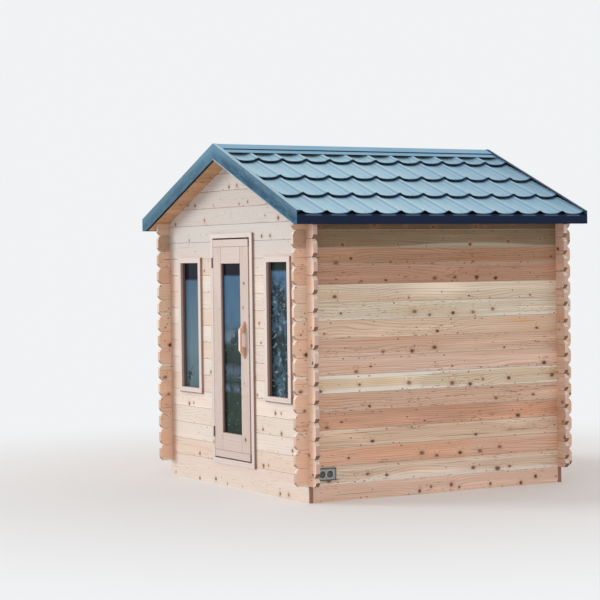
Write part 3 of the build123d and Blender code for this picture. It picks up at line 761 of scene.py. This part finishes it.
def boards(name, material, replaced, count, width, section, start, end, place):
    """Boards side by side, with a section in (across, depth). Place takes a board's point to the part."""
    vertices, faces, grain, tone = [], [], [], []
    for k in range(count):
        faces += [tuple(reversed(face)) for face in prism_faces(len(vertices), len(section), 2)]
        shade = rng.random()
        shift = rng.uniform(0, 40)
        for along in (start, end):
            for across, depth in section:
                vertices.append(place(along, k * width + across, depth))
                grain.append((along + shift, across, depth))
                tone.append(shade)
    made = piece(name, "cabin", material, vertices, faces, replaced)
    values = [value for point in grain for value in point]
    made.data.attributes.new("grain", "FLOAT_VECTOR", "POINT").data.foreach_set("vector", values)
    made.data.attributes.new("tone", "FLOAT", "POINT").data.foreach_set("value", tone)


def board_section(width, thick, gap=0.0006, chamfer=0.004):
    """A board with its lower edges chamfered, so that two side by side make a V joint."""
    low, high = gap, width - gap
    lower = [(low + chamfer, 0), (high - chamfer, 0), (high, chamfer)]
    return lower + [(high, thick), (low, thick), (low, chamfer)]


def soffit_boards(side, label):
    """One slope's boards, parallel to the ridge."""
    count = math.floor((EAVE_X / COS - BOARDS_START) / SOFFIT_BOARD)
    boards(f"soffit_boards_{label}", soffit_wood, [f"roof_boards_{label}"], count,
           SOFFIT_BOARD, board_section(SOFFIT_BOARD, BOARD_THICK), -BOARDS_END, BOARDS_END,
           lambda along, across, depth: on_slope(side, BOARDS_START + across, depth, along))


def floor_planks():
    """Floor boards across the joists, a whole number of them."""
    low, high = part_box("floor_boards")
    count = round((high.y - low.y) / FLOOR_BOARD)
    width = (high.y - low.y) / count
    boards("floor_planks", floor_wood, ["floor_boards"], count, width,
           board_section(width, high.z - low.z), low.x, high.x,
           lambda along, across, depth: Vector((along, low.y + across, high.z - depth)))


def wave_rise(y):
    """The tile profile's height at y, a smooth curve through its knots."""
    phase = (y - FIRST_CREST - WAVE_KNOTS[0][0]) % WAVE + WAVE_KNOTS[0][0]
    last = len(WAVE_KNOTS)
    around = [(WAVE_KNOTS[k % last][0] + WAVE * (k // last), WAVE_KNOTS[k % last][1])
              for k in range(-2, last + 3)]
    for k in range(1, len(around) - 2):
        (ya, ha), (yb, hb), (yc, hc), (yd, hd) = around[k - 1:k + 3]
        if yb <= phase <= yc:
            t = (phase - yb) / (yc - yb)
            slope_b = (hc - ha) / (yc - ya) * (yc - yb)
            slope_c = (hd - hb) / (yd - yb) * (yc - yb)
            curve = (2 * t**3 - 3 * t**2 + 1) * hb + (t**3 - 2 * t**2 + t) * slope_b
            return max(0.0, curve + (3 * t**2 - 2 * t**3) * hc + (t**3 - t**2) * slope_c)
    return 0.0


def tile_section():
    """The sheet's top line, as places up the slope and out from it, with a lip over the riser of each row."""
    line = []
    high = TILE_UNDER + TILE_STEP + TILE_THICK
    feet = [TILE_FOOT + k * TILE_ROW for k in range(TILE_ROWS)]
    for foot, head in zip(feet, feet[1:] + [SHEET_TOP]):
        fall = TILE_STEP * (head - foot) / TILE_ROW
        line += [(foot + up, high + out) for up, out in NOSE]
        line += [(foot + (head - foot) * part, high - fall * part) for part in (0.34, 0.67)]
        if head == SHEET_TOP:
            line.append((head, high - fall))
        else:
            line += [(head + LIP, high - TILE_STEP), (head + LIP, high - LIP)]
    return line


def tile_sheet(side, label):
    """One slope's tile-profile sheet, as a closed thin shell."""
    top = tile_section()
    loop = top + [(up, out - TILE_THICK / 2) for up, out in reversed(top)]
    count = math.ceil(2 * SHEET_END / WAVE * WAVE_STEPS)
    ys = [-SHEET_END + k * WAVE / WAVE_STEPS for k in range(count)] + [SHEET_END]
    vertices = [on_slope(side, up, out + wave_rise(y), y) for y in ys for up, out in loop]
    made = piece(f"tile_sheet_{label}", "cabin", tile_steel, vertices,
                 prism_faces(0, len(loop), len(ys)), [f"roof_sheet_{label}"], smooth=True)
    made.data.set_sharp_from_angle(angle=math.radians(38))


def frame_strip(vertices, faces, low, high, profile):
    """A strip round the inside of an upright rectangle, mitred. The profile is (inset, y) points."""
    faces += prism_faces(len(vertices), len(profile), 4, closed=True)
    for across, up in ((0, 0), (1, 0), (1, 1), (0, 1)):
        for inset, y in profile:
            x = high[0] - inset if across else low[0] + inset
            z = high[1] - inset if up else low[1] + inset
            vertices.append((x, y, z))


def bead_profile(glass_y, size):
    """A quarter-round bead that stands on the inner face of the glass."""
    points = [(0, glass_y), (0, glass_y + size), (size * 0.35, glass_y + size)]
    steps = 5
    for k in range(1, steps):
        turn = k / steps * math.pi / 2
        points.append((size * (0.35 + 0.65 * math.sin(turn)), glass_y + size * (0.2 + 0.8 * math.cos(turn))))
    return points + [(size, glass_y + size * 0.2), (size, glass_y)]


def glass_beads(name, body, panes, left_edges, size):
    """Glazing beads, on the inside of a node's panes."""
    low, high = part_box(panes)
    width = high.x - left_edges[-1]
    vertices, faces = [], []
    for x in left_edges:
        frame_strip(vertices, faces, (x, low.z), (x + width, high.z), bead_profile(high.y, size))
    piece(name, body, level_wood, vertices, faces)


def door_seal():
    """A soft near-black strip on the stops behind the leaf: a rubber seal that also stands for the shade in
    the gap round the leaf.
    """
    low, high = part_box("door_end_rails")
    stop = high.y + STOP_GAP
    shoulder = stop - SEAL * 0.6
    profile = [(0, stop), (0, shoulder), (SEAL_EDGE, stop - SEAL), (SEAL_WIDTH - SEAL_EDGE, stop - SEAL),
               (SEAL_WIDTH, shoulder), (SEAL_WIDTH, stop)]
    vertices, faces = [], []
    frame_strip(vertices, faces, (low.x - LEAF_GAP, low.z - LEAF_GAP), (high.x + LEAF_GAP, high.z + LEAF_GAP),
                profile)
    piece("door_seal", "cabin", seal_rubber_gap_shade, vertices, faces)


def rounded_path(points, radius, steps):
    """An open line of (y, z) points with its inner corners rounded, each by the same number of points."""
    line = [points[0]]
    for before, corner, after in zip(points, points[1:], points[2:]):
        into = (before - corner).normalized()
        out = (after - corner).normalized()
        reach = radius * math.tan((math.pi - into.angle(out)) / 2)
        start, end = corner + into * reach, corner + out * reach
        for k in range(steps + 1):
            t = k / steps
            line.append(start * (1 - t) ** 2 + corner * 2 * t * (1 - t) + end * t * t)
    return line + [points[-1]]


def rounded_ring(half_width, reach, radius, steps):
    """A rectangle with rounded corners: across from its middle, and inward from 0 to reach."""
    ring = []
    for quarter, (side, far) in enumerate(((1, False), (1, True), (-1, True), (-1, False))):
        for step in range(steps):
            turn = math.pi / 2 * (step / (steps - 1) + quarter - 1)
            across = side * (half_width - radius) + math.cos(turn) * radius
            ring.append((across, (reach - radius if far else radius) + math.sin(turn) * radius))
    return ring


def door_handle():
    """One bow of wood with rounded edges, its finger gap widening towards the leaf."""
    low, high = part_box("door_handle")
    middle = (low + high) / 2
    half = (high - low) / 2
    bar_y = low.y + HANDLE_BAR
    steps = 6
    outer = [(high.y, -half.z), (low.y, -HANDLE_GRIP / 2), (low.y, HANDLE_GRIP / 2), (high.y, half.z)]
    inner = [(high.y, -GAP_LEAF), (bar_y, -GAP_GRIP), (bar_y, GAP_GRIP), (high.y, GAP_LEAF)]
    outer = rounded_path([Vector(point) for point in outer], HANDLE_CORNER, steps)
    inner = rounded_path([Vector(point) for point in inner], GAP_CORNER, steps)
    pairs = []
    for k in range(len(outer) - 1):
        straight = (outer[k + 1] - outer[k]).length > HANDLE_CORNER
        parts = steps if straight else 1
        pairs += [(outer[k].lerp(outer[k + 1], j / parts), inner[k].lerp(inner[k + 1], j / parts))
                  for j in range(parts)]
    pairs.append((outer[-1], inner[-1]))
    vertices = []
    for outside, inside in pairs:
        reach = (inside - outside).length
        ring = rounded_ring(half.x, reach, HANDLE_ROUND, steps)
        for across, inward in ring:
            point = outside.lerp(inside, inward / reach)
            vertices.append((middle.x + across, point.x, middle.z + point.y))
    faces = [tuple(reversed(face)) for face in prism_faces(0, len(ring), len(pairs))]
    handle = piece("door_handle_bow", "door", handle_wood, vertices, faces, ["door_handle"],
                   smooth=True)
    handle.data.set_sharp_from_angle(angle=math.radians(40))


def turned(vertices, faces, profile, steps, centre, axis):
    """A turned shape. Its (radius, height) profile starts and ends on the axis, or closes into a ring."""
    side = axis.orthogonal().normalized()
    other = axis.cross(side)
    rows = []
    for radius, height in profile:
        count = steps if radius else 1
        rows.append([len(vertices) + k for k in range(count)])
        for k in range(count):
            turn = 2 * math.pi * k / steps
            spoke = side * math.cos(turn) + other * math.sin(turn)
            vertices.append(centre + axis * height + spoke * radius)
    closed = profile[0][0] > 0
    for low, high in list(zip(rows, rows[1:])) + ([(rows[-1], rows[0])] if closed else []):
        for k in range(steps):
            j = (k + 1) % steps
            if len(low) == 1:
                faces.append((low[0], high[j], high[k]))
            elif len(high) == 1:
                faces.append((low[k], low[j], high[0]))
            else:
                faces.append((low[k], low[j], high[j], high[k]))


def roof_screws(side, label):
    """Screws with washers, in every other pan at each row's foot."""
    outward = Vector((side * SIN, 0, COS))
    waves = math.floor(2 * SHEET_END / WAVE)
    vertices, faces = [], []
    for row in range(TILE_ROWS):
        up = TILE_FOOT + row * TILE_ROW + SCREW_RISE
        out = TILE_UNDER + TILE_STEP + TILE_THICK - TILE_STEP * SCREW_RISE / TILE_ROW
        for wave in range(row % 2, waves, 2):
            y = FIRST_CREST + wave * WAVE + PAN
            if abs(y) < SHEET_END - SCREW_MARGIN:
                turned(vertices, faces, SCREW, 8, on_slope(side, up, out + wave_rise(y), y), outward)
    piece(f"roof_screws_{label}", "cabin", screw_steel, vertices, faces)


def vent_trim():
    """Rims round the two grilles, and a screw in each corner of the plate."""
    low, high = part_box("vent_plate")
    middle = (low + high) / 2
    outward = Vector((1, 0, 0))
    rim = [(VENT_HOLE + radius, height) for radius, height in VENT_RIM]
    vertices, faces = [], []
    for k in (-1, 1):
        centre = Vector((high.x, middle.y + k * VENT_SPACING / 2, middle.z))
        turned(vertices, faces, rim, 32, centre, outward)
    piece("vent_rims", "cabin", vent_rim, vertices, faces)
    vertices, faces = [], []
    for y in (low.y + VENT_INSET, high.y - VENT_INSET):
        for z in (low.z + VENT_INSET, high.z - VENT_INSET):
            turned(vertices, faces, SMALL_SCREW, 10, Vector((high.x, y, z)), outward)
    piece("vent_screws", "cabin", vent_dark, vertices, faces)


SLOPES = ((1, "right"), (-1, "left"))
for side, label in SLOPES:
    soffit_boards(side, label)
floor_planks()
for side, label in SLOPES:
    tile_sheet(side, label)
glass_beads("door_glass_beads", "door", "door_glass", [DOOR_GLASS], DOOR_BEAD)
glass_beads("window_beads", "cabin", "window_panes", WINDOW_GLASS, WINDOW_BEAD)
door_seal()
door_handle()
for side, label in SLOPES:
    roof_screws(side, label)
vent_trim()

# Camera
camera = bpy.data.objects.new("camera", bpy.data.cameras.new("camera"))
level = Matrix.Rotation(YAW, 4, "Z") @ Matrix.Rotation(math.pi / 2 + PITCH, 4, "X")
camera.matrix_world = Matrix.Translation(CAMERA_PLACE) @ level @ Matrix.Rotation(ROLL, 4, "Z")
camera.data.sensor_width = 36
camera.data.lens = LENS
camera.data.clip_end = 200
scene.collection.objects.link(camera)
scene.camera = camera

# Floor and backdrop
BACKDROP = (0.88, 0.89, 0.90, 1)


def stage_material():
    """A pale matt floor that fades, far from the part, into the backdrop."""
    graph = Graph("stage_floor", Roughness=0.9)
    graph.shader.inputs["Base Color"].default_value = (0.93, 0.93, 0.94, 1)
    x, y = graph.split(graph.place())[:2]
    away = graph.math("SQRT", x * x + y * y)
    glow = graph.node("Emission", {"Color": BACKDROP, "Strength": 1.0})
    inputs = {0: away.smooth(2.5, 7.0), 1: graph.shader.outputs[0], 2: glow.outputs[0]}
    blend = graph.node("MixShader", inputs)
    graph.tree.links.new(blend.outputs[0], graph.tree.nodes["Material Output"].inputs["Surface"])
    return graph.material


bpy.ops.mesh.primitive_plane_add(size=160, location=(0, 0, 0))
floor = bpy.context.object
floor.name = "floor"
floor.data.materials.append(stage_material())

# World: soft light all round, and one pale tone behind the part
world = bpy.data.worlds.new("world")
scene.world = world
world.use_nodes = True
tree = world.node_tree
soft = tree.nodes["Background"]
plain = tree.nodes.new("ShaderNodeBackground")
for light, tone, strength in ((soft, (1.0, 0.98, 0.96, 1), 0.72), (plain, BACKDROP, 1.0)):
    light.inputs["Color"].default_value = tone
    light.inputs["Strength"].default_value = strength
path = tree.nodes.new("ShaderNodeLightPath")
blend = tree.nodes.new("ShaderNodeMixShader")
for source, socket in zip((path.outputs["Is Camera Ray"], soft.outputs[0], plain.outputs[0]), blend.inputs):
    tree.links.new(source, socket)
tree.links.new(blend.outputs[0], tree.nodes["World Output"].inputs["Surface"])

# Sun, low and to the left of the door
to_sun = Vector((-0.60, -0.76, 0.25)).normalized()
sun = bpy.data.objects.new("sun", bpy.data.lights.new("sun", "SUN"))
sun.data.energy = 1.5
sun.data.angle = math.radians(28)
sun.matrix_world = to_sun.to_track_quat("Z", "Y").to_matrix().to_4x4()
scene.collection.objects.link(sun)
